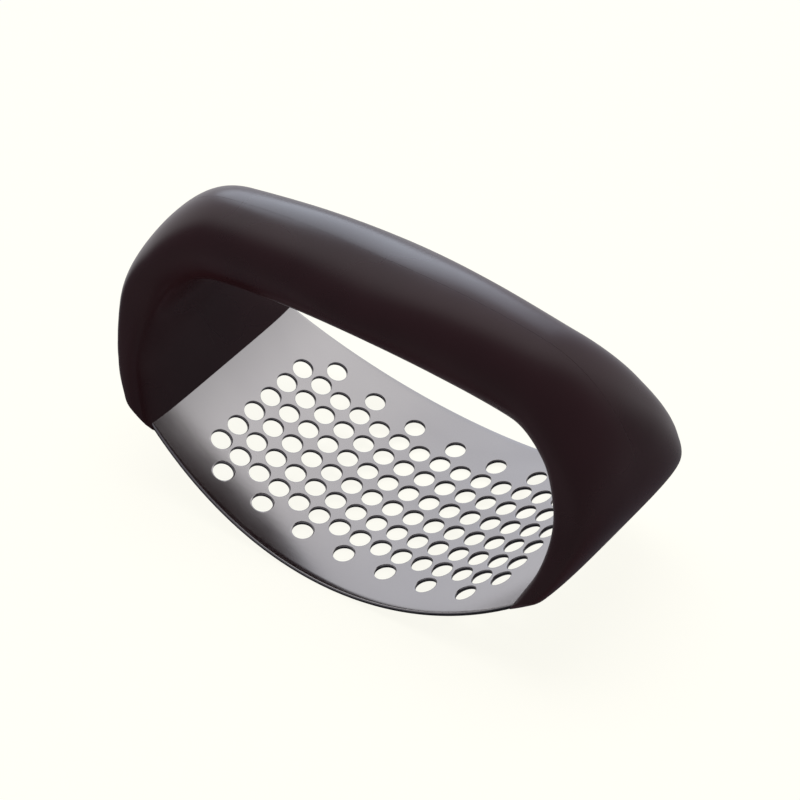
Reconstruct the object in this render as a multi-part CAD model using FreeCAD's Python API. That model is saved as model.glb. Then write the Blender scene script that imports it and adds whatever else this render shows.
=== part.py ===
import FreeCAD, Part
import math
import os

from FreeCAD import Placement, Rotation, Vector

# Rocker garlic press: a curved perforated plate held at both ends by an arched two-shell handle.
# Millimetres. +X runs along the length, +Y away from the user, +Z up.
# The origin is on the plate's underside, at its lowest point. Both ends mirror each other in X = 0.

# Perforated plate
HOLE_PITCH = 4.9
HOLE_RADIUS = 1.98
PLATE_THICKNESS = 0.8
ROCKER_RADIUS = 14.6 * HOLE_PITCH
PLATE_HALF_WIDTH = 25.6
PLATE_END_HALF_WIDTH = 20.8
PLATE_END_X = 42.3
PLATE_END_Z = 14.0
FOOT_FACE_SLOPE = 66.0
MAIN_COLUMNS = 15
MAIN_ROWS = 6
EDGE_ROW_HOLES = 7

# Tabs that rise from the plate's ends into the handle, and the steel pins that they curl round
TAB_HALF_WIDTH = 12.4
TAB_BEND_X = 44.2
TAB_BEND_RADIUS = 3.0
TAB_SLOPE = 65.0
TAB_RUN = 13.2
PIN_RADIUS = 1.0
PIN_HALF_LENGTH = 14.6
PIN_CLEARANCE = 0.03
PIN_END_GAP = 0.1
PIN_BLOCK_HALF = 5.0
TAB_SIDE_GAP = 0.3
CURL_CLEARANCE = 0.05
CURL_TURN = 290.0

# Handle centreline: arcs of the crown, the shoulder, the leg and the foot, each tangent to the next,
# and a straight end. Angles are slopes below the horizontal, going from the crown down to the foot.
CROWN_HEIGHT = 52.6
CROWN_RADIUS = 194.5
CROWN_HALF_SPAN = 35.3
SHOULDER_RADIUS = 18.1
SHOULDER_END_ANGLE = 85.9
LEG_RADIUS = 20.9
LEG_END_ANGLE = 103.2
FOOT_RADIUS = 27.6
FOOT_ANGLE = 120.0
HALF_ARCH_LENGTH = 86.0

# Handle sections from the crown to the foot: distance along the centreline, half width, half thickness,
# and the exponents that square the oval's outer and inner side (2 is an ellipse)
STATIONS = [
    (0.0, 11.8, 7.1, 1.8, 1.9),
    (17.7, 10.6, 7.6, 2.05, 2.2),
    (33.8, 10.1, 7.9, 2.0, 2.1),
    (46.6, 12.3, 6.1, 2.2, 2.7),
    (57.9, 15.0, 4.6, 3.7, 4.7),
    (69.1, 20.0, 2.85, 3.9, 4.6),
    (80.4, 24.2, 1.8, 2.7, 5.5),
]
SECTIONS_PER_HALF = 13
SECTION_POINTS = 24

# Handle details
WALL = 2.0
FOOT_LIP = 0.5
FOOT_HALF_WIDTH = 23.2
FOOT_CORNER_RADIUS = 4.2
FOOT_REGION_TOP = 25.0
CAVITY_FLOOR = 21.5
ARCH_CUT_HEIGHT = 9.0
LEAST_HALF_THICKNESS = 0.4
SLOT_CLEARANCE = 0.12
RIB_THICKNESS = 1.4
RIB_PLACES = (9.0, 27.0)
PEG_PLACES = (18.0, 50.0)
PEG_RADIUS = 1.5
PEG_LENGTH = 4.0
BOSS_RADIUS = 3.0
PEG_CLEARANCE = 0.05
PEG_END_GAP = 0.5

PLATE_MIDDLE_RADIUS = ROCKER_RADIUS - PLATE_THICKNESS / 2
AXIS_HEIGHT = ROCKER_RADIUS
REACH = 80.0
ALONG_Y = Vector(0, 1, 0)


def mirror_x(shape):
    return shape.mirror(Vector(0, 0, 0), Vector(1, 0, 0))


def block(low, high):
    size = [b - a for a, b in zip(low, high)]
    return Part.makeBox(size[0], size[1], size[2], Vector(*low))


def along_y(radius, low_y, high_y, x, z):
    return Part.makeCylinder(radius, high_y - low_y, Vector(x, low_y, z), ALONG_Y)


def smooth_value(places, values, place):
    """Monotone cubic through the stations, so a section never swells between two of them."""
    count = len(places)
    steps = [places[i + 1] - places[i] for i in range(count - 1)]
    slopes = [(values[i + 1] - values[i]) / steps[i] for i in range(count - 1)]
    tangents = [0.0] * count
    tangents[-1] = slopes[-1]
    for i in range(1, count - 1):
        if slopes[i - 1] * slopes[i] > 0:
            tangents[i] = 2 * slopes[i - 1] * slopes[i] / (slopes[i - 1] + slopes[i])
    place = min(place, places[-1])
    i = max(k for k in range(count - 1) if place >= places[k])
    t = (place - places[i]) / steps[i]
    start = (1 + 2 * t) * (1 - t) ** 2 * values[i] + t * (1 - t) ** 2 * steps[i] * tangents[i]
    end = t * t * (3 - 2 * t) * values[i + 1] + t * t * (t - 1) * steps[i] * tangents[i + 1]
    return start + end


def centreline(place):
    """Point (x, z) of the half arch's centreline, and its slope, a distance from the crown."""
    crown_angle = math.asin(CROWN_HALF_SPAN / CROWN_RADIUS)
    shoulder_end, leg_end = math.radians(SHOULDER_END_ANGLE), math.radians(LEG_END_ANGLE)
    arcs = [
        (CROWN_RADIUS, 0.0, crown_angle),
        (SHOULDER_RADIUS, crown_angle, shoulder_end),
        (LEG_RADIUS, shoulder_end, leg_end),
        (FOOT_RADIUS, leg_end, math.radians(FOOT_ANGLE)),
    ]
    x, z = 0.0, CROWN_HEIGHT
    left = place
    for radius, start, end in arcs:
        angle = min(end, start + left / radius)
        x += radius * (math.sin(angle) - math.sin(start))
        z += radius * (math.cos(angle) - math.cos(start))
        left -= radius * (angle - start)
        if angle < end:
            return x, z, angle
    return x + left * math.cos(angle), z - left * math.sin(angle), angle


def section_wire(place, inset):
    """Oval section of the right half of the handle, at a distance from the crown."""
    x, z, angle = centreline(place)
    places = [row[0] for row in STATIONS]
    half_width, half_thickness, outer, inner = [
        smooth_value(places, [row[k] for row in STATIONS], place) for k in (1, 2, 3, 4)
    ]
    half_width -= inset
    half_thickness = max(half_thickness - inset, LEAST_HALF_THICKNESS)
    points = []
    for step in range(SECTION_POINTS):
        turn = 2 * math.pi * (step + 0.5) / SECTION_POINTS
        power = 2 / (outer if math.sin(turn) > 0 else inner)
        across = math.copysign(abs(math.cos(turn)) ** power, math.cos(turn)) * half_width
        out = math.copysign(abs(math.sin(turn)) ** power, math.sin(turn)) * half_thickness
        points.append(Vector(x + out * math.sin(angle), across, z + out * math.cos(angle)))
    curve = Part.BSplineCurve()
    knots = [step / SECTION_POINTS for step in range(SECTION_POINTS + 1)]
    curve.interpolate(Points=points, PeriodicFlag=True, Parameters=knots)
    return Part.Wire([curve.toShape()])


def right_arch(inset, floor):
    """Right half of the arched bar with its leg, inset evenly from the outside, cut off at a height."""
    gap = HALF_ARCH_LENGTH / SECTIONS_PER_HALF
    wires = [section_wire(step * gap, inset) for step in range(SECTIONS_PER_HALF + 1)]
    return Part.makeLoft(wires, True).cut(block((-REACH, -REACH, -REACH), (REACH, REACH, floor)))


def foot_trim():
    """What is cut off below the legs, so that the feet end on a circle round the rocker's own axis."""
    wheel = along_y(ROCKER_RADIUS + FOOT_LIP, -FOOT_HALF_WIDTH, FOOT_HALF_WIDTH, 0, AXIS_HEIGHT)
    wheel = wheel.makeFillet(FOOT_CORNER_RADIUS, [wheel.Edges[0], wheel.Edges[2]])
    return block((-REACH, -REACH, -REACH), (REACH, REACH, FOOT_REGION_TOP)).cut(wheel)


def strip(start, heading, moves, half_width):
    """Sheet metal strip across Y: moves are (length, 0) for a flat or (angle, radius) for a bend."""
    pieces = []
    x, z = start
    half = PLATE_THICKNESS / 2
    for amount, radius in moves:
        if radius == 0:
            run = Vector(math.cos(heading), 0, math.sin(heading)) * amount
            side = Vector(-math.sin(heading), 0, math.cos(heading)) * half
            base = Vector(x, 0, z)
            outline = [base + side, base + run + side, base + run - side, base - side, base + side]
            face = Part.Face(Part.makePolygon(outline))
            x, z = x + run.x, z + run.z
        else:
            turn = math.radians(amount)
            centre = Vector(x - math.sin(heading) * radius, 0, z + math.cos(heading) * radius)
            first = heading - math.pi / 2
            face = ring_sector(centre, radius - half, radius + half, first, first + turn)
            heading += turn
            x = centre.x + radius * math.cos(heading - math.pi / 2)
            z = centre.z + radius * math.sin(heading - math.pi / 2)
        pieces.append(face.extrude(ALONG_Y * 2 * half_width).translated(Vector(0, -half_width, 0)))
    solid = pieces[0]
    for piece in pieces[1:]:
        solid = solid.fuse(piece)
    return solid.removeSplitter(), Vector(x, 0, z), heading


def ring_sector(centre, inner, outer, first, last):
    """Face in the XZ plane between two radii and two angles about a centre."""
    def at(radius, angle):
        return centre + Vector(radius * math.cos(angle), 0, radius * math.sin(angle))
    middle = (first + last) / 2
    edges = [
        Part.Arc(at(outer, first), at(outer, middle), at(outer, last)).toShape(),
        Part.makeLine(at(outer, last), at(inner, last)),
        Part.Arc(at(inner, last), at(inner, middle), at(inner, first)).toShape(),
        Part.makeLine(at(inner, first), at(outer, first)),
    ]
    return Part.Face(Part.Wire(edges))


def tab_moves():
    """Bend and flat run of the right tab, from where it leaves the rocker's circle."""
    start_angle = math.asin(TAB_BEND_X / PLATE_MIDDLE_RADIUS)
    bend = TAB_SLOPE - math.degrees(start_angle)
    start = (TAB_BEND_X, AXIS_HEIGHT - PLATE_MIDDLE_RADIUS * math.cos(start_angle))
    return start, start_angle, [(bend, TAB_BEND_RADIUS), (TAB_RUN, 0)]


def tab_neck(inner_x, half_width):
    """Part of the rocker's arc that the right tab grows from, starting at a distance from the middle."""
    heading = math.asin(TAB_BEND_X / PLATE_MIDDLE_RADIUS)
    start = math.asin(inner_x / PLATE_MIDDLE_RADIUS)
    half = PLATE_THICKNESS / 2
    face = ring_sector(
        Vector(0, 0, AXIS_HEIGHT),
        PLATE_MIDDLE_RADIUS - half,
        PLATE_MIDDLE_RADIUS + half,
        start - math.pi / 2,
        heading - math.pi / 2,
    )
    return face.extrude(ALONG_Y * 2 * half_width).translated(Vector(0, -half_width, 0))


def right_tab():
    """Tab solid and the centre of its curl, which is the right cross pin's axis."""
    start, heading, moves = tab_moves()
    curl_radius = PIN_RADIUS + CURL_CLEARANCE + PLATE_THICKNESS / 2
    _, end, final = strip(start, heading, moves, TAB_HALF_WIDTH)
    pin_axis = end + Vector(-math.sin(final), 0, math.cos(final)) * curl_radius
    solid = strip(start, heading, moves + [(CURL_TURN, curl_radius)], TAB_HALF_WIDTH)[0]
    return solid.fuse(tab_neck(PLATE_END_X - 3.0, TAB_HALF_WIDTH)), pin_axis


def plate_outline():
    """Barrel-shaped plan of the plate, as a tall prism: two long arcs and two straight ends."""
    ends = PLATE_END_X + 4.0
    bow = PLATE_HALF_WIDTH - PLATE_END_HALF_WIDTH
    end_half = PLATE_HALF_WIDTH - bow * (ends / PLATE_END_X) ** 2
    near = Part.Arc(Vector(-ends, -end_half, 0), Vector(0, -PLATE_HALF_WIDTH, 0), Vector(ends, -end_half, 0))
    far = Part.Arc(Vector(ends, end_half, 0), Vector(0, PLATE_HALF_WIDTH, 0), Vector(-ends, end_half, 0))
    right = Part.makeLine(Vector(ends, -end_half, 0), Vector(ends, end_half, 0))
    left = Part.makeLine(Vector(-ends, end_half, 0), Vector(-ends, -end_half, 0))
    face = Part.Face(Part.Wire([near.toShape(), right, far.toShape(), left]))
    return face.extrude(Vector(0, 0, FOOT_REGION_TOP))


def hole_places():
    """(place along the arc, y) of each hole: a square lattice and one sparse row outside each long side."""
    half_columns = (MAIN_COLUMNS - 1) / 2
    half_rows = (MAIN_ROWS - 1) / 2
    places = []
    for column in range(MAIN_COLUMNS):
        for row in range(MAIN_ROWS):
            places.append(((column - half_columns) * HOLE_PITCH, (row - half_rows) * HOLE_PITCH))
    edge_y = (half_rows + 1) * HOLE_PITCH
    for hole in range(EDGE_ROW_HOLES):
        along = 2 * HOLE_PITCH * (hole - (EDGE_ROW_HOLES - 1) / 2)
        places += [(along, -edge_y), (along, edge_y)]
    return places


def hole_cutters():
    cutters = []
    length = 4 * PLATE_THICKNESS
    for along, y in hole_places():
        angle = along / PLATE_MIDDLE_RADIUS
        inward = Vector(-math.sin(angle), 0, math.cos(angle))
        middle = Vector(0, y, AXIS_HEIGHT) - inward * PLATE_MIDDLE_RADIUS
        cutters.append(Part.makeCylinder(HOLE_RADIUS, length, middle - inward * (length / 2), inward))
    return Part.makeCompound(cutters)


def foot_face_cutter():
    """Block whose face leans like the right foot's inner face, where the plate's full width ends."""
    cutter = block((0, -REACH, -REACH / 2), (REACH, REACH, REACH / 2))
    slope = Rotation(ALONG_Y, 90 - FOOT_FACE_SLOPE)
    cutter.Placement = Placement(Vector(PLATE_END_X, 0, PLATE_END_Z), slope)
    return cutter


def rocker_plate(tab):
    half = PLATE_THICKNESS / 2
    reach_angle = math.asin((PLATE_END_X + 3.5) / PLATE_MIDDLE_RADIUS)
    arc = ring_sector(
        Vector(0, 0, AXIS_HEIGHT),
        PLATE_MIDDLE_RADIUS - half,
        PLATE_MIDDLE_RADIUS + half,
        -math.pi / 2 - reach_angle,
        -math.pi / 2 + reach_angle,
    )
    sheet = arc.extrude(ALONG_Y * 2 * PLATE_HALF_WIDTH).translated(Vector(0, -PLATE_HALF_WIDTH, 0))
    foot_side = foot_face_cutter()
    sheet = sheet.common(plate_outline()).cut(foot_side).cut(mirror_x(foot_side))
    sheet = sheet.cut(hole_cutters())
    plate = sheet.fuse([tab, mirror_x(tab)]).removeSplitter()
    return plate.Solids[0]


def plate_slot(pin_axis):
    """Room that the right end of the plate needs in the foot: its full-width end, the tab and the curl."""
    start, heading, moves = tab_moves()
    half_width = TAB_HALF_WIDTH + SLOT_CLEARANCE
    slot = strip(start, heading, moves, half_width)[0].fuse(tab_neck(PLATE_END_X - 6.0, half_width))
    curl_radius = PIN_RADIUS + CURL_CLEARANCE + PLATE_THICKNESS + SLOT_CLEARANCE
    pocket = along_y(curl_radius, -half_width, half_width, pin_axis.x, pin_axis.z)
    seat = tab_neck(PLATE_END_X - 6.0, PLATE_HALF_WIDTH).cut(foot_face_cutter())
    return [slot, pocket, seat]


def cross_pin(pin_axis):
    return along_y(PIN_RADIUS, -PIN_HALF_LENGTH, PIN_HALF_LENGTH, pin_axis.x, pin_axis.z)


def columns(radius, low_y, high_y):
    """Round columns along Y on the right half's centreline, where the shells' pegs are."""
    places = [centreline(place) for place in PEG_PLACES]
    return [along_y(radius, low_y, high_y, x, z) for x, z, _ in places]


def cross_ribs():
    """Thin walls square to the centreline that stiffen the hollow bar."""
    ribs = []
    for place in RIB_PLACES:
        x, z, angle = centreline(place)
        rib = block((-RIB_THICKNESS / 2, -REACH / 2, -REACH / 8), (RIB_THICKNESS / 2, REACH / 2, REACH / 8))
        rib.Placement = Placement(Vector(x, 0, z), Rotation(ALONG_Y, math.degrees(angle)))
        ribs.append(rib)
    return ribs


def pin_blocks(pin_axis):
    """Solid blocks in the leg, in front of and behind the tab, that carry the cross pin's ends."""
    low = Vector(pin_axis.x, 0, pin_axis.z) - Vector(PIN_BLOCK_HALF, 0, PIN_BLOCK_HALF)
    high = Vector(pin_axis.x, 0, pin_axis.z) + Vector(PIN_BLOCK_HALF, 0, PIN_BLOCK_HALF)
    start = TAB_HALF_WIDTH + TAB_SIDE_GAP
    return [
        block((low.x, start, low.z), (high.x, REACH, high.z)),
        block((low.x, -REACH, low.z), (high.x, -start, high.z)),
    ]


def front_quarter(pin_axis):
    """Front right quarter of the handle: hollow bar and leg, solid foot, ribs, bosses, slot, socket."""
    front = block((-REACH, -REACH, -REACH), (REACH, 0, REACH))
    cavity = right_arch(WALL, CAVITY_FLOOR).common(front)
    for solid in columns(BOSS_RADIUS, -REACH, REACH) + cross_ribs() + pin_blocks(pin_axis):
        cavity = cavity.cut(solid)
    socket_reach = PIN_HALF_LENGTH + PIN_END_GAP
    socket = along_y(PIN_RADIUS + PIN_CLEARANCE, -socket_reach, socket_reach, pin_axis.x, pin_axis.z)
    outside = right_arch(0, ARCH_CUT_HEIGHT).cut(foot_trim()).common(front)
    quarter = outside.cut(cavity).cut(socket)
    for room in plate_slot(pin_axis):
        quarter = quarter.cut(room)
    return quarter


def whole(right):
    return right.fuse(mirror_x(right)).removeSplitter()


def front_handle_shell(quarter):
    """Shell on the user's side, with the pegs that enter the rear shell."""
    shell = quarter
    for peg in columns(PEG_RADIUS, -PEG_LENGTH, PEG_LENGTH):
        shell = shell.fuse(peg)
    return whole(shell)


def rear_handle_shell(quarter):
    """Shell on the far side, with the sockets that take the front shell's pegs."""
    shell = quarter.mirror(Vector(0, 0, 0), ALONG_Y)
    for socket in columns(PEG_RADIUS + PEG_CLEARANCE, -PEG_LENGTH, PEG_LENGTH + PEG_END_GAP):
        shell = shell.cut(socket)
    return whole(shell)


def save(name, shape):
    solids = shape.Solids
    kept = solids[0] if len(solids) == 1 else Part.makeCompound(solids)
    kept.exportStep(os.path.join("parts", name + ".step"))
    box = kept.optimalBoundingBox()
    print(name, len(solids), kept.isValid(), round(kept.Volume / 1000, 2), "cm3",
          [round(v, 1) for v in (box.XMin, box.XMax, box.YMin, box.YMax, box.ZMin, box.ZMax)])


def main():
    os.makedirs("parts", exist_ok=True)
    tab, pin_axis = right_tab()
    quarter = front_quarter(pin_axis)
    pin = cross_pin(pin_axis)
    save("rocker_plate", rocker_plate(tab))
    save("front_handle_shell", front_handle_shell(quarter))
    save("rear_handle_shell", rear_handle_shell(quarter))
    save("right_plate_pin", pin)
    save("left_plate_pin", mirror_x(pin))


main()
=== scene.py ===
import math

import bmesh
import bpy
import numpy as np
from mathutils import Matrix, Vector


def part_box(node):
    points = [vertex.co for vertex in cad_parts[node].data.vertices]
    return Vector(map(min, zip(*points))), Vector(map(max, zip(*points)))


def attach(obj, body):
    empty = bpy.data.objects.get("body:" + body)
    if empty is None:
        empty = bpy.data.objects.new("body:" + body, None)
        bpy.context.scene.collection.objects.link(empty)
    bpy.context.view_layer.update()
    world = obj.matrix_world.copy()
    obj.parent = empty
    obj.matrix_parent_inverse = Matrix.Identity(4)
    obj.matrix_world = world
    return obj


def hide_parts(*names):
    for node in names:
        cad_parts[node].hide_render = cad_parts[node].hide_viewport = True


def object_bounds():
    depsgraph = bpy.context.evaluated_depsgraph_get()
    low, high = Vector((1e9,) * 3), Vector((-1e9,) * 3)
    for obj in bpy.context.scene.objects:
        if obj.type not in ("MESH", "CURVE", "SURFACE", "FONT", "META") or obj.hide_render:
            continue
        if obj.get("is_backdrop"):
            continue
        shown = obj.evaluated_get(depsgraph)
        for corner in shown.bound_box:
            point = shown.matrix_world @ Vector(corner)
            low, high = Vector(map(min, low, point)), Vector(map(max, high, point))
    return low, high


# Looks of the rocker garlic press: a satin steel plate full of punched holes, held by a glossy
# two-shell plastic handle. Metres, in the CAD model's frame: +X along the length, +Z up,
# origin on the plate's underside at its lowest point.

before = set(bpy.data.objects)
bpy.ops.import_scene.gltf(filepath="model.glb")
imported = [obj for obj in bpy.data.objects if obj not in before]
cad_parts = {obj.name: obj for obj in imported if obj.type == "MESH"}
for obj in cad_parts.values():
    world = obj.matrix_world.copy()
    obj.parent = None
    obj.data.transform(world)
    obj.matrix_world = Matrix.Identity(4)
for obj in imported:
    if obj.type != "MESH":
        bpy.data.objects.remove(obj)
CAD_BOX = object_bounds()
MM = 0.001

# Perforated plate
HOLE_PITCH = 4.9 * MM
HOLE_RADIUS = 2.0 * MM
PLATE_THICKNESS = 0.8 * MM
ROCKER_RADIUS = 71.9 * MM
PLATE_HALF_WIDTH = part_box("rocker_plate")[1].y
PLATE_PLAN_RADIUS = 189.0 * MM
PLATE_HALF_ARC = 47.6 * MM
COLUMNS = 15
ROWS = 8
RIM_ROUND = 0.22 * MM
EDGE_ROUND = 0.3 * MM
CELL_STEPS = 8
END_STEPS = 7
MARGIN_STEPS = 5
ROUND_STEPS = 4

# Handle: centreline arcs and sections, as distances from the crown along the centreline
CROWN_HEIGHT = 52.6 * MM
CROWN_RADIUS = 194.5 * MM
CROWN_HALF_SPAN = 35.3 * MM
SHOULDER_RADIUS = 18.1 * MM
SHOULDER_END_ANGLE = math.radians(85.9)
LEG_RADIUS = 20.9 * MM
LEG_END_ANGLE = math.radians(103.2)
FOOT_RADIUS = 27.6 * MM
FOOT_ANGLE = math.radians(120.0)
HALF_ARCH_LENGTH = 86.0 * MM
STATION_PLACES = np.array([0.0, 17.7, 33.8, 46.6, 57.9, 69.1, 80.4]) * MM
HALF_WIDTHS = np.array([11.8, 10.6, 10.1, 12.3, 15.0, 20.0, 24.2]) * MM
HALF_THICKNESSES = np.array([7.1, 7.6, 7.9, 6.1, 4.6, 2.85, 1.8]) * MM
OUTER_EXPONENTS = np.array([1.8, 2.05, 2.0, 2.2, 3.7, 3.9, 2.7])
INNER_EXPONENTS = np.array([1.9, 2.2, 2.1, 2.7, 4.7, 4.6, 5.5])
FOOT_LIP = 0.5 * MM
FOOT_HALF_WIDTH = 23.2 * MM
FOOT_CORNER_RADIUS = 4.2 * MM
WALL = 2.0 * MM
CAVITY_END = 56.0 * MM
OUTER_EDGE_ROUND = 0.9 * MM
INNER_EDGE_ROUND = 0.5 * MM
# the hairline where the halves meet, as (distance from the middle plane, depth) of its edge points
SEAM_PROFILE = [(0.002 * MM, 0.03 * MM), (0.01 * MM, 0.01 * MM), (0.025 * MM, 0.002 * MM), (0.05 * MM, 0.0)]
SEAM_HALF_WIDTH = 0.12 * MM
LEAST_HALF_THICKNESS = 0.4 * MM
ARCH_ROWS = 112
SECTION_COLUMNS = 56
OVAL_SAMPLES = 721
CAP_STEPS = 8
TABLE_STEP = 0.2 * MM

INNER_RADIUS = ROCKER_RADIUS - PLATE_THICKNESS
MIDDLE_RADIUS = ROCKER_RADIUS - PLATE_THICKNESS / 2


class Shell:
    """Vertices and faces of one mesh, with the number of the material on each face."""

    def __init__(self):
        self.points = []
        self.faces = []
        self.finishes = []

    def add(self, point):
        self.points.append(tuple(point))
        return len(self.points) - 1

    def face(self, corners, finish=0):
        kept = [c for i, c in enumerate(corners) if c != corners[i - 1]]
        if len(set(kept)) > 2:
            self.faces.append(kept)
            self.finishes.append(finish)

    def strip(self, first, second, finish=0, closed=False):
        """Quads between two lines of vertices of the same length."""
        count = len(first)
        for i in range(count if closed else count - 1):
            k = (i + 1) % count
            self.face([first[i], first[k], second[k], second[i]], finish)

    def build(self, name, materials):
        mesh = bpy.data.meshes.new(name)
        mesh.from_pydata(self.points, [], self.faces)
        mesh.polygons.foreach_set("material_index", self.finishes)
        mesh.polygons.foreach_set("use_smooth", [True] * len(self.faces))
        for material in materials:
            mesh.materials.append(material)
        mesh.validate()
        piece = bpy.data.objects.new(name, mesh)
        bpy.context.scene.collection.objects.link(piece)
        return piece


# ---- perforated plate ----

def on_plate(along, y, depth):
    """Point of the plate: place along the arc, y, and depth below its upper face."""
    angle = along / MIDDLE_RADIUS
    radius = INNER_RADIUS + depth
    return radius * math.sin(angle), y, ROCKER_RADIUS - radius * math.cos(angle)


def plan_half_width(along):
    """Half width of the barrel-shaped plan at a place along the arc."""
    x = MIDDLE_RADIUS * math.sin(along / MIDDLE_RADIUS)
    bow = PLATE_PLAN_RADIUS - math.sqrt(PLATE_PLAN_RADIUS ** 2 - x * x)
    return PLATE_HALF_WIDTH - bow


def has_hole(column, row):
    """The main rows are full, and the outermost row each side has every second hole."""
    if 0 < row < ROWS - 1:
        return True
    return column % 2 == 1


def cell_lines(cells):
    """Places of the mesh lines across a row of cells, even in angle as seen from each hole."""
    places = []
    for cell in range(cells):
        middle = (cell - (cells - 1) / 2) * HOLE_PITCH
        for step in range(CELL_STEPS):
            turn = math.radians(-45 + 90 * step / CELL_STEPS)
            places.append(middle + HOLE_PITCH / 2 * math.tan(turn))
    places.append(cells * HOLE_PITCH / 2)
    return places


def plate_lines():
    """Mesh lines along the arc, and the inner ones across it."""
    along = cell_lines(COLUMNS)
    start = along[-1]
    ends = [start + (PLATE_HALF_ARC - start) * (i + 1) / END_STEPS for i in range(END_STEPS)]
    return [-place for place in reversed(ends)] + along + ends, cell_lines(ROWS)


def plate_grid(shell, under):
    """Grid of vertices of the upper or lower face: one list across the plate per mesh line."""
    along_lines, across_lines = plate_lines()
    depth = PLATE_THICKNESS if under else 0.0
    inner = across_lines[-1]
    grid = []
    for along in along_lines:
        edge = plan_half_width(along) - EDGE_ROUND
        outer = [inner + (edge - inner) * (i + 1) / MARGIN_STEPS for i in range(MARGIN_STEPS)]
        across = [-y for y in reversed(outer)] + across_lines + outer
        grid.append([shell.add(on_plate(along, y, depth)) for y in across])
    return grid


def cell_corner(column, row):
    return END_STEPS + column * CELL_STEPS, MARGIN_STEPS + row * CELL_STEPS


def cell_border(grid, column, row):
    """Vertices round a cell, anticlockwise from its lowest corner."""
    i, j = cell_corner(column, row)
    n = CELL_STEPS
    border = [grid[i + k][j] for k in range(n)]
    border += [grid[i + n][j + k] for k in range(n)]
    border += [grid[i + n - k][j + n] for k in range(n)]
    border += [grid[i][j + n - k] for k in range(n)]
    return border


def cell_border_places():
    """Place along the arc and y of a cell border's vertices, from the hole's middle."""
    half = HOLE_PITCH / 2
    tans = [math.tan(math.radians(-45 + 90 * k / CELL_STEPS)) for k in range(CELL_STEPS)]
    places = [(half * t, -half) for t in tans]
    places += [(half, half * t) for t in tans]
    places += [(-half * t, half) for t in tans]
    places += [(-half, -half * t) for t in tans]
    return places


def hole_rings(shell, border, column, row, under):
    """Rings from a cell's border to the start of the hole's straight wall. Returns the last ring."""
    middle_along = (column - (COLUMNS - 1) / 2) * HOLE_PITCH
    middle_y = (row - (ROWS - 1) / 2) * HOLE_PITCH
    places = cell_border_places()
    rim = HOLE_RADIUS + RIM_ROUND
    shapes = [("flat", 0.5), ("flat", 0.85), ("flat", 1.0)]
    shapes += [("round", math.radians(90 * (k + 1) / ROUND_STEPS)) for k in range(ROUND_STEPS)]
    last = border
    for kind, amount in shapes:
        ring = []
        for along, y in places:
            far = math.hypot(along, y)
            if kind == "flat":
                reach = far + (rim - far) * amount
                depth = 0.0
            else:
                reach = rim - RIM_ROUND * math.sin(amount)
                depth = RIM_ROUND * (1 - math.cos(amount))
            if under:
                depth = PLATE_THICKNESS - depth
            place = on_plate(middle_along + along / far * reach, middle_y + y / far * reach, depth)
            ring.append(shell.add(place))
        shell.strip(last, ring, 0, closed=True)
        last = ring
    return last


def plate_faces(shell, grid):
    """Quads of one face of the plate, leaving out the cells that have a hole."""
    holes = set()
    for column in range(COLUMNS):
        for row in range(ROWS):
            if has_hole(column, row):
                i, j = cell_corner(column, row)
                holes |= {(i + a, j + b) for a in range(CELL_STEPS) for b in range(CELL_STEPS)}
    for i in range(len(grid) - 1):
        for j in range(len(grid[0]) - 1):
            if (i, j) not in holes:
                shell.face([grid[i][j], grid[i + 1][j], grid[i + 1][j + 1], grid[i][j + 1]])


def long_edge(shell, top, bottom, side):
    """Rounded long edge between the two faces, on one side of the plate. Returns its lines."""
    turns = [math.radians(90 * (k + 1) / ROUND_STEPS) for k in range(ROUND_STEPS)]
    upper = [(EDGE_ROUND * math.sin(t), EDGE_ROUND * (1 - math.cos(t))) for t in turns]
    lower = [(out, PLATE_THICKNESS - depth) for out, depth in reversed(upper)]
    lines = [top]
    for out, depth in upper + lower:
        line = []
        for along in plate_lines()[0]:
            y = plan_half_width(along) - EDGE_ROUND + out
            line.append(shell.add(on_plate(along, side * y, depth)))
        lines.append(line)
    lines.append(bottom)
    for number, (first, second) in enumerate(zip(lines, lines[1:])):
        # the sheared band of the edge takes finish 1, the steel with painted shade
        sheared_painted_shade = ROUND_STEPS - 1 <= number <= ROUND_STEPS + 1
        shell.strip(first, second, 1 if sheared_painted_shade else 0)
    return lines


def make_plate(materials):
    shell = Shell()
    top, bottom = plate_grid(shell, False), plate_grid(shell, True)
    for grid in (top, bottom):
        plate_faces(shell, grid)
    for column in range(COLUMNS):
        for row in range(ROWS):
            if has_hole(column, row):
                upper = hole_rings(shell, cell_border(top, column, row), column, row, False)
                lower = hole_rings(shell, cell_border(bottom, column, row), column, row, True)
                # hole walls take finish 1, the steel with painted shade
                shell.strip(upper, lower, 1, closed=True)
    # the long edges and the plate's ends also take finish 1, the steel with painted shade
    for side, j in ((-1, 0), (1, -1)):
        lines = long_edge(shell, [row[j] for row in top], [row[j] for row in bottom], side)
        for end in (0, -1):
            shell.face([line[end] for line in lines], 1)
    for end in (0, -1):
        shell.strip(top[end], bottom[end], 1)
    return finish_mesh(shell.build("steel_plate", materials))


def finish_mesh(piece):
    """Outward normals all over the piece."""
    work = bmesh.new()
    work.from_mesh(piece.data)
    bmesh.ops.recalc_face_normals(work, faces=work.faces)
    work.to_mesh(piece.data)
    work.free()
    return piece


# ---- handle shells ----

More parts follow.
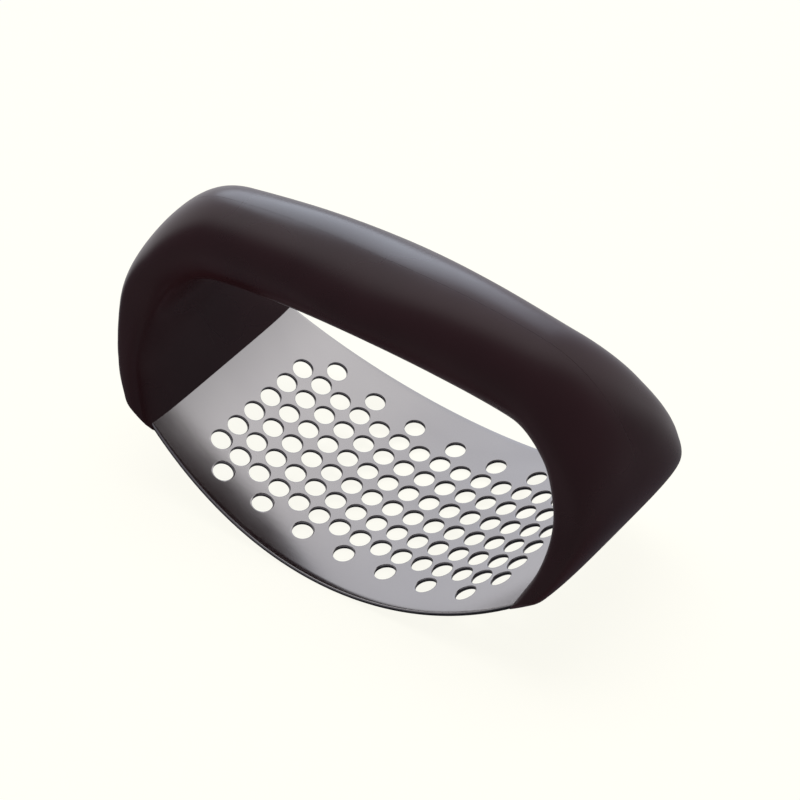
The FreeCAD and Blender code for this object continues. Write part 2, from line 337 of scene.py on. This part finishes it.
def smooth_values(values, places):
    """Monotone cubic through the stations, so a section never swells between two of them."""
    steps = np.diff(STATION_PLACES)
    slopes = np.diff(values) / steps
    tangents = np.zeros(len(values))
    tangents[-1] = slopes[-1]
    for i in range(1, len(values) - 1):
        if slopes[i - 1] * slopes[i] > 0:
            tangents[i] = 2 * slopes[i - 1] * slopes[i] / (slopes[i - 1] + slopes[i])
    places = np.clip(places, STATION_PLACES[0], STATION_PLACES[-1])
    i = np.clip(np.searchsorted(STATION_PLACES, places, side="right") - 1, 0, len(steps) - 1)
    t = (places - STATION_PLACES[i]) / steps[i]
    start = (1 + 2 * t) * (1 - t) ** 2 * values[i] + t * (1 - t) ** 2 * steps[i] * tangents[i]
    end = t * t * (3 - 2 * t) * values[i + 1] + t * t * (t - 1) * steps[i] * tangents[i + 1]
    return start + end


def centreline(place):
    """Point (x, z) of the half arch's centreline and its slope, a distance from the crown."""
    crown_angle = math.asin(CROWN_HALF_SPAN / CROWN_RADIUS)
    arcs = [
        (CROWN_RADIUS, 0.0, crown_angle),
        (SHOULDER_RADIUS, crown_angle, SHOULDER_END_ANGLE),
        (LEG_RADIUS, SHOULDER_END_ANGLE, LEG_END_ANGLE),
        (FOOT_RADIUS, LEG_END_ANGLE, FOOT_ANGLE),
    ]
    x, z, left = 0.0, CROWN_HEIGHT, place
    for radius, start, end in arcs:
        angle = min(end, start + left / radius)
        x += radius * (math.sin(angle) - math.sin(start))
        z += radius * (math.cos(angle) - math.cos(start))
        left -= radius * (angle - start)
        if angle < end:
            return x, z, angle
    return x + left * math.cos(angle), z - left * math.sin(angle), angle


def even_half_oval(half_width, half_thickness, outer_exponent, inner_exponent):
    """(across, out) of points evenly spaced along half a section, from seam to seam."""
    turns = np.linspace(0, math.pi, OVAL_SAMPLES)
    power = 2 / np.where(turns < math.pi / 2, outer_exponent, inner_exponent)
    across = half_width * np.abs(np.sin(turns)) ** power
    out = half_thickness * np.sign(np.cos(turns)) * np.abs(np.cos(turns)) ** power
    length = np.r_[0, np.cumsum(np.hypot(np.diff(across), np.diff(out)))]
    rising = OVAL_SAMPLES // 4
    start = np.interp(SEAM_HALF_WIDTH, across[:rising], length[:rising])
    wanted = np.linspace(start, length[-1] - start, SECTION_COLUMNS + 1)
    return np.interp(wanted, length, across), np.interp(wanted, length, out)


def section_table(inset):
    """Handle surface sampled along the half arch: arrays of x, y, z by place and column."""
    places = np.arange(0, HALF_ARCH_LENGTH, TABLE_STEP)
    widths = smooth_values(HALF_WIDTHS, places) - inset
    thicknesses = smooth_values(HALF_THICKNESSES, places) - inset
    outer, inner = smooth_values(OUTER_EXPONENTS, places), smooth_values(INNER_EXPONENTS, places)
    table = []
    for i, place in enumerate(places):
        x, z, angle = centreline(place)
        thickness = max(thicknesses[i], LEAST_HALF_THICKNESS)
        across, out = even_half_oval(widths[i], thickness, outer[i], inner[i])
        if inset == 0:
            rims = SEAM_PROFILE
            across = np.r_[[a for a, _ in rims], across, [a for a, _ in reversed(rims)]]
            out = np.r_[[thickness - d for _, d in rims], out, [d - thickness for _, d in reversed(rims)]]
        row = np.stack([x + out * math.sin(angle), across, z + out * math.cos(angle)], axis=1)
        table.append(row)
    return places, np.array(table)


def trim_radius(across, seam_depth=0.0):
    """Radius about the rocker's axis where the foot ends, rounded off at its front and back."""
    radius = ROCKER_RADIUS + FOOT_LIP - seam_depth
    over = np.clip(across - (FOOT_HALF_WIDTH - FOOT_CORNER_RADIUS), 0, FOOT_CORNER_RADIUS)
    return radius - (FOOT_CORNER_RADIUS - np.sqrt(FOOT_CORNER_RADIUS ** 2 - over ** 2))


def foot_places(places, table):
    """Place where each lengthwise line of the handle meets the foot's end."""
    ends = []
    for column in range(table.shape[1]):
        line = table[:, column]
        beyond = np.hypot(line[:, 0], ROCKER_RADIUS - line[:, 2]) - trim_radius(line[:, 1])
        late = places > STATION_PLACES[4]
        index = int(np.argmax(late & (beyond > 0)))
        share = beyond[index - 1] / (beyond[index - 1] - beyond[index])
        ends.append(places[index - 1] + share * TABLE_STEP)
    return np.array(ends)


def sample(places, table, column, place):
    return np.array([np.interp(place, places, table[:, column, k]) for k in range(3)])


def on_foot(angle, across, seam_depth):
    radius = float(trim_radius(across, seam_depth))
    return np.array([radius * math.sin(angle), across, ROCKER_RADIUS - radius * math.cos(angle)])


def foot_angle(point):
    return math.atan2(point[0], ROCKER_RADIUS - point[2])


def foot_lines(places, table, ends):
    """For each column, the points of the rounded edge and of the foot's end, up to the middle."""
    columns = table.shape[1]
    depths = [d for _, d in SEAM_PROFILE]
    depths = depths + [0.0] * (columns - 2 * len(depths)) + depths[::-1]
    edges = [sample(places, table, c, ends[c]) for c in range(columns)]
    rounds, caps = [], []
    for c in range(columns):
        pair = columns - 1 - c
        own, other = edges[c], edges[pair]
        span = np.linalg.norm(own - other)
        reach = OUTER_EDGE_ROUND if c < pair else INNER_EDGE_ROUND
        reach = min(reach, 0.4 * span)
        share = 0.0 if span == 0 else reach / span
        start = sample(places, table, c, ends[c] - reach)
        angle = foot_angle(own) + (foot_angle(other) - foot_angle(own)) * share
        stop = on_foot(angle, own[1] + (other[1] - own[1]) * share, depths[c])
        bend = []
        for k in range(ROUND_STEPS):
            t = (k + 1) / ROUND_STEPS
            bend.append((1 - t) ** 2 * start + 2 * t * (1 - t) * own + t * t * stop)
        rounds.append([start] + bend)
        caps.append((angle, bend[-1][1]))
    return rounds, caps, depths


def half_shell(name, front, material):
    """One half of the handle: outer skin, feet, inner cavity and the face where the halves meet."""
    places, table = section_table(0.0)
    ends = foot_places(places, table)
    rounds, caps, depths = foot_lines(places, table, ends)
    columns = table.shape[1]
    shell = Shell()
    side = -1 if front else 1

    def add(point, mirror):
        return shell.add((point[0] * mirror, point[1] * side, point[2]))

    # rows from the crown to each foot, then the rounded edge
    crown = [add(sample(places, table, c, 0.0), 1) for c in range(columns)]
    seam_rows = {}
    for mirror in (1, -1):
        rows = [crown]
        for k in range(1, ARCH_ROWS + 1):
            share = k / ARCH_ROWS
            row = []
            for c in range(columns):
                reach = edge_place(places, table, c, ends[c], rounds[c][0])
                row.append(add(sample(places, table, c, reach * share), mirror))
            rows.append(row)
        for first, second in zip(rows, rows[1:]):
            shell.strip(first, second)
        bends = [rows[-1]]
        for k in range(1, ROUND_STEPS + 1):
            bends.append([add(rounds[c][k], mirror) for c in range(columns)])
        for first, second in zip(bends, bends[1:]):
            shell.strip(first, second)
        cap_rows = cap_faces(shell, add, bends[-1], caps, depths, mirror)
        seam_rows[mirror] = (rows, bends, cap_rows)
    inner = cavity(shell, add)
    for mirror in (1, -1):
        seam_face(shell, seam_rows[mirror], inner[mirror])
    return finish_mesh(shell.build(name, [material]))


def edge_place(places, table, column, end, start_point):
    """Place along a line where its rounded edge starts."""
    gap = float(np.linalg.norm(sample(places, table, column, end) - start_point))
    return end - gap


def cap_faces(shell, add, rim, caps, depths, mirror):
    """End of a foot, on the circle, between the outer and the inner half of its rim."""
    columns = len(rim)
    middle = columns // 2
    lines = []
    for c in range(middle):
        pair = columns - 1 - c
        line = [rim[c]]
        for k in range(1, CAP_STEPS):
            share = k / CAP_STEPS
            angle = caps[c][0] + (caps[pair][0] - caps[c][0]) * share
            across = caps[c][1] + (caps[pair][1] - caps[c][1]) * share
            line.append(add(on_foot(angle, across, depths[c]), mirror))
        line.append(rim[pair])
        lines.append(line)
    lines.append([rim[middle]] * (CAP_STEPS + 1))
    for first, second in zip(lines, lines[1:]):
        shell.strip(first, second)
    return lines


def cavity(shell, add):
    """Hollow inside the bar and the upper legs. Returns its vertex rows for each side."""
    places, table = section_table(WALL)
    table[:, 0, 1] = SEAM_PROFILE[0][0]
    table[:, -1, 1] = SEAM_PROFILE[0][0]
    columns = table.shape[1]
    steps = round(ARCH_ROWS * CAVITY_END / HALF_ARCH_LENGTH)
    crown = [add(sample(places, table, c, 0.0), 1) for c in range(columns)]
    sides = {}
    for mirror in (1, -1):
        rows = [crown]
        for k in range(1, steps + 1):
            place = CAVITY_END * k / steps
            rows.append([add(sample(places, table, c, place), mirror) for c in range(columns)])
        for first, second in zip(rows, rows[1:]):
            shell.strip(first, second)
        last = rows[-1]
        half = columns // 2
        shell.strip(last[:half + 1], last[:half - 1:-1])
        sides[mirror] = rows
    return sides


def seam_face(shell, outer, inner):
    """Flat face in the handle's middle plane, round the cavity and across the solid foot."""
    rows, bends, cap_rows = outer
    steps = len(inner) - 1
    for k in range(steps):
        shell.face([rows[k][0], rows[k + 1][0], inner[k + 1][0], inner[k][0]])
        shell.face([rows[k][-1], rows[k + 1][-1], inner[k + 1][-1], inner[k][-1]])
    last = inner[-1]
    shell.face([rows[steps][0], rows[steps + 1][0], rows[steps + 1][-1], rows[steps][-1], last[-1], last[0]])
    for k in range(steps + 1, len(rows) - 1):
        shell.face([rows[k][0], rows[k + 1][0], rows[k + 1][-1], rows[k][-1]])
    ring = [row[0] for row in bends] + cap_rows[0][1:-1] + [row[-1] for row in reversed(bends)]
    shell.face(ring)


# ---- materials ----

def new_material(name):
    material = bpy.data.materials.new(name)
    material.use_nodes = True
    nodes, links = material.node_tree.nodes, material.node_tree.links
    shader = nodes["Principled BSDF"]
    place = nodes.new("ShaderNodeTexCoord").outputs["Object"]
    return material, nodes, links, shader, place


def noise(nodes, links, place, scale, stretch=(1, 1, 1), detail=3.0):
    """Noise output, with its own stretch in each direction."""
    mapping = nodes.new("ShaderNodeMapping")
    mapping.inputs["Scale"].default_value = stretch
    links.new(place, mapping.inputs["Vector"])
    texture = nodes.new("ShaderNodeTexNoise")
    texture.inputs["Scale"].default_value = scale
    texture.inputs["Detail"].default_value = detail
    links.new(mapping.outputs["Vector"], texture.inputs["Vector"])
    return texture.outputs["Fac"]


def spread(nodes, links, value, low, high):
    """The value's middle range mapped to low..high."""
    node = nodes.new("ShaderNodeMapRange")
    node.inputs["From Min"].default_value = 0.3
    node.inputs["From Max"].default_value = 0.7
    node.inputs["To Min"].default_value = low
    node.inputs["To Max"].default_value = high
    links.new(value, node.inputs["Value"])
    return node.outputs["Result"]


def tint(nodes, links, value, dark, light):
    ramp = nodes.new("ShaderNodeValToRGB")
    ramp.color_ramp.elements[0].position = 0.3
    ramp.color_ramp.elements[0].color = (*dark, 1)
    ramp.color_ramp.elements[1].position = 0.7
    ramp.color_ramp.elements[1].color = (*light, 1)
    links.new(value, ramp.inputs["Fac"])
    return ramp.outputs["Color"]


def bump(nodes, links, height, distance, strength, under=None):
    node = nodes.new("ShaderNodeBump")
    node.inputs["Distance"].default_value = distance
    node.inputs["Strength"].default_value = strength
    links.new(height, node.inputs["Height"])
    if under is not None:
        links.new(under, node.inputs["Normal"])
    return node.outputs["Normal"]


def satin_steel():
    """Rolled stainless sheet: fine streaks along its length and a soft mottled polish."""
    material, nodes, links, shader, place = new_material("satin_steel")
    streaks = noise(nodes, links, place, 900, (0.06, 1, 1), 4)
    cloud = noise(nodes, links, place, 60, (0.5, 1, 1), 3)
    colour = tint(nodes, links, cloud, (0.57, 0.555, 0.55), (0.64, 0.625, 0.615))
    links.new(colour, shader.inputs["Base Color"])
    shader.inputs["Metallic"].default_value = 1.0
    links.new(spread(nodes, links, cloud, 0.13, 0.2), shader.inputs["Roughness"])
    links.new(bump(nodes, links, streaks, 0.00001, 0.2), shader.inputs["Normal"])
    return material


def sheared_steel_painted_shade():
    """Punched and sheared edges of the sheet: rougher, with burnish lines, and nearly black with painted
    shade for the dark reflections in the hole walls and along the edges.
    """
    material, nodes, links, shader, place = new_material("sheared_steel_painted_shade")
    lines = noise(nodes, links, place, 2200, (1, 1, 0.2), 3)
    # painted shade: the near-black base colour stands in for the shade and dark reflections on the hole
    # walls and edges
    colour = tint(nodes, links, lines, (0.07, 0.068, 0.072), (0.15, 0.147, 0.152))
    links.new(colour, shader.inputs["Base Color"])
    shader.inputs["Metallic"].default_value = 1.0
    links.new(spread(nodes, links, lines, 0.38, 0.55), shader.inputs["Roughness"])
    links.new(bump(nodes, links, lines, 0.00003, 0.3), shader.inputs["Normal"])
    return material


def gloss_plastic():
    """Injection-moulded plastic, nearly black with a plum cast, with a faint moulded ripple."""
    material, nodes, links, shader, place = new_material("gloss_plastic")
    cloud = noise(nodes, links, place, 45, (1, 1, 1), 2)
    grain = noise(nodes, links, place, 1500, (1, 1, 1), 2)
    ripple = noise(nodes, links, place, 70, (0.4, 1, 1), 2)
    colour = tint(nodes, links, cloud, (0.019, 0.0055, 0.0070), (0.026, 0.0075, 0.0100))
    links.new(colour, shader.inputs["Base Color"])
    links.new(spread(nodes, links, cloud, 0.24, 0.32), shader.inputs["Roughness"])
    soft = bump(nodes, links, ripple, 0.0003, 0.25)
    links.new(bump(nodes, links, grain, 0.00001, 0.15, soft), shader.inputs["Normal"])
    shader.inputs["IOR"].default_value = 1.5
    return material


def pin_steel():
    """Turned steel pin: rings of fine tool marks round its length."""
    material, nodes, links, shader, place = new_material("turned_steel")
    rings = noise(nodes, links, place, 3000, (0.05, 1, 0.05), 2)
    colour = tint(nodes, links, rings, (0.50, 0.49, 0.50), (0.62, 0.61, 0.63))
    links.new(colour, shader.inputs["Base Color"])
    shader.inputs["Metallic"].default_value = 1.0
    links.new(spread(nodes, links, rings, 0.22, 0.34), shader.inputs["Roughness"])
    links.new(bump(nodes, links, rings, 0.00001, 0.3), shader.inputs["Normal"])
    return material


# ---- stage ----

FLOOR_SIZE = 6.0
FLOOR_TINT = (1.0, 0.990, 0.915)
FLOOR_DIFFUSE = 0.12
FLOOR_GLOW = 0.93


def make_floor():
    """Plain pale floor at the height that the rocker rests on."""
    half = FLOOR_SIZE / 2
    mesh = bpy.data.meshes.new("floor")
    corners = [(-half, -half, 0), (half, -half, 0), (half, half, 0), (-half, half, 0)]
    mesh.from_pydata(corners, [], [(0, 1, 2, 3)])
    floor = bpy.data.objects.new("floor", mesh)
    bpy.context.scene.collection.objects.link(floor)
    material, nodes, links, shader, _ = new_material("pale_floor")
    shader.inputs["Base Color"].default_value = (*[FLOOR_DIFFUSE * c for c in FLOOR_TINT], 1)
    shader.inputs["Roughness"].default_value = 0.9
    shader.inputs["Specular IOR Level"].default_value = 0.0
    shader.inputs["Emission Color"].default_value = (*FLOOR_TINT, 1)
    shader.inputs["Emission Strength"].default_value = FLOOR_GLOW
    mesh.materials.append(material)
    floor.visible_glossy = False
    floor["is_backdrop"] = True


# the bright side of the surroundings, their tone from the side facing away to that one, and the tone below
WORLD_FACING = (-0.45, 0.87, 0.2)
WORLD_STOPS = [
    (0.00, (0.130, 0.125, 0.140)),
    (0.60, (0.150, 0.145, 0.165)),
    (0.68, (0.520, 0.515, 0.530)),
    (0.76, (0.850, 0.835, 0.860)),
    (0.86, (0.760, 0.750, 0.780)),
    (0.95, (0.660, 0.665, 0.720)),
    (1.00, (0.740, 0.770, 0.880)),
]
WORLD_LOW = (0.05, 0.05, 0.06)
WORLD_LOW_BAND = (-0.85, -0.35)


def make_world():
    """Soft surroundings: bright towards the far side, dim overhead, dark below."""
    world = bpy.data.worlds.new("studio")
    bpy.context.scene.world = world
    world.use_nodes = True
    nodes, links = world.node_tree.nodes, world.node_tree.links
    direction = nodes.new("ShaderNodeTexCoord").outputs["Generated"]
    facing = nodes.new("ShaderNodeVectorMath")
    facing.operation = "DOT_PRODUCT"
    facing.inputs[1].default_value = WORLD_FACING
    links.new(direction, facing.inputs[0])
    scale = nodes.new("ShaderNodeMapRange")
    scale.inputs["From Min"].default_value = -1.0
    links.new(facing.outputs["Value"], scale.inputs["Value"])
    ramp = nodes.new("ShaderNodeValToRGB")
    while len(ramp.color_ramp.elements) < len(WORLD_STOPS):
        ramp.color_ramp.elements.new(0.5)
    for element, (position, colour) in zip(ramp.color_ramp.elements, WORLD_STOPS):
        element.position = position
        element.color = (*colour, 1)
    links.new(scale.outputs["Result"], ramp.inputs["Fac"])
    split = nodes.new("ShaderNodeSeparateXYZ")
    links.new(direction, split.inputs["Vector"])
    height = nodes.new("ShaderNodeMapRange")
    height.interpolation_type = "SMOOTHSTEP"
    height.inputs["From Min"].default_value = WORLD_LOW_BAND[0]
    height.inputs["From Max"].default_value = WORLD_LOW_BAND[1]
    links.new(split.outputs["Z"], height.inputs["Value"])
    blend = nodes.new("ShaderNodeMix")
    blend.data_type = "RGBA"
    blend.inputs["A"].default_value = (*WORLD_LOW, 1)
    links.new(height.outputs["Result"], blend.inputs["Factor"])
    links.new(ramp.outputs["Color"], blend.inputs["B"])
    links.new(blend.outputs["Result"], nodes["Background"].inputs["Color"])


LIGHT_AIM = Vector((0, 0, 0.03))


def soft_light(name, place, size, power, colour=(1, 1, 1), glossy=True):
    """Square soft box that faces the object."""
    data = bpy.data.lights.new(name, "AREA")
    data.size = size
    data.energy = power
    data.color = colour
    light = bpy.data.objects.new(name, data)
    bpy.context.scene.collection.objects.link(light)
    light.location = place
    towards = LIGHT_AIM - Vector(place)
    light.rotation_euler = towards.to_track_quat("-Z", "Y").to_euler()
    light.visible_camera = False
    light.visible_glossy = glossy
    return light


def light_only(light, pieces):
    """The light reaches these pieces and nothing else."""
    group = bpy.data.collections.new(light.name + "_receivers")
    for piece in pieces:
        group.objects.link(piece)
    light.light_linking.receiver_collection = group


CAMERA_AZIMUTH = math.radians(40.74)
CAMERA_ELEVATION = math.radians(41.39)
CAMERA_ROLL = math.radians(-4.43)
CAMERA_DISTANCE = 0.5854
CAMERA_TARGET = Vector((-0.0072, 0.0105, 0.0148))
CAMERA_LENS = 140.09


def make_camera():
    data = bpy.data.cameras.new("camera")
    data.lens = CAMERA_LENS
    data.sensor_width = 36.0
    data.clip_end = 20.0
    camera = bpy.data.objects.new("camera", data)
    bpy.context.scene.collection.objects.link(camera)
    flat = math.cos(CAMERA_ELEVATION)
    back = Vector((
        flat * math.sin(CAMERA_AZIMUTH), -flat * math.cos(CAMERA_AZIMUTH), math.sin(CAMERA_ELEVATION)))
    level = back.to_track_quat("Z", "Y").to_matrix().to_4x4()
    roll = Matrix.Rotation(CAMERA_ROLL, 4, "Z")
    camera.matrix_world = Matrix.Translation(CAMERA_TARGET + back * CAMERA_DISTANCE) @ level @ roll
    bpy.context.scene.camera = camera


# ---- scene ----

# the second steel, for the sheared faces, is nearly black with painted shade
steel, sheared_painted_shade, plastic, turned = satin_steel(), sheared_steel_painted_shade(), gloss_plastic(), pin_steel()

plate = make_plate([steel, sheared_painted_shade])
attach(plate, "root")
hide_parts("rocker_plate")

halves = []
for shell_name, node, is_front in (
    ("front_shell", "front_handle_shell", True),
    ("rear_shell", "rear_handle_shell", False),
):
    half = half_shell(shell_name, is_front, plastic)
    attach(half, "root")
    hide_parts(node)
    halves.append(half)

for node in ("left_plate_pin", "right_plate_pin"):
    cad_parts[node].data.materials.clear()
    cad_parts[node].data.materials.append(turned)

make_floor()
make_world()
soft_light("top_box", (-0.1, 0.25, 1.1), 0.9, 7.0, (1.0, 0.99, 0.97), glossy=False)
handle_box = soft_light("handle_box", (-0.55, 0.72, 0.35), 0.6, 2.4, (0.80, 0.88, 1.0))
light_only(handle_box, halves)
make_camera()
bpy.context.scene.view_settings.view_transform = "Standard"
bpy.context.scene.view_settings.look = "None"

VISUAL_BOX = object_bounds()
boxes = {"cad": CAD_BOX, "visual": VISUAL_BOX}
{name: [list(corner) for corner in box] for name, box in boxes.items()}
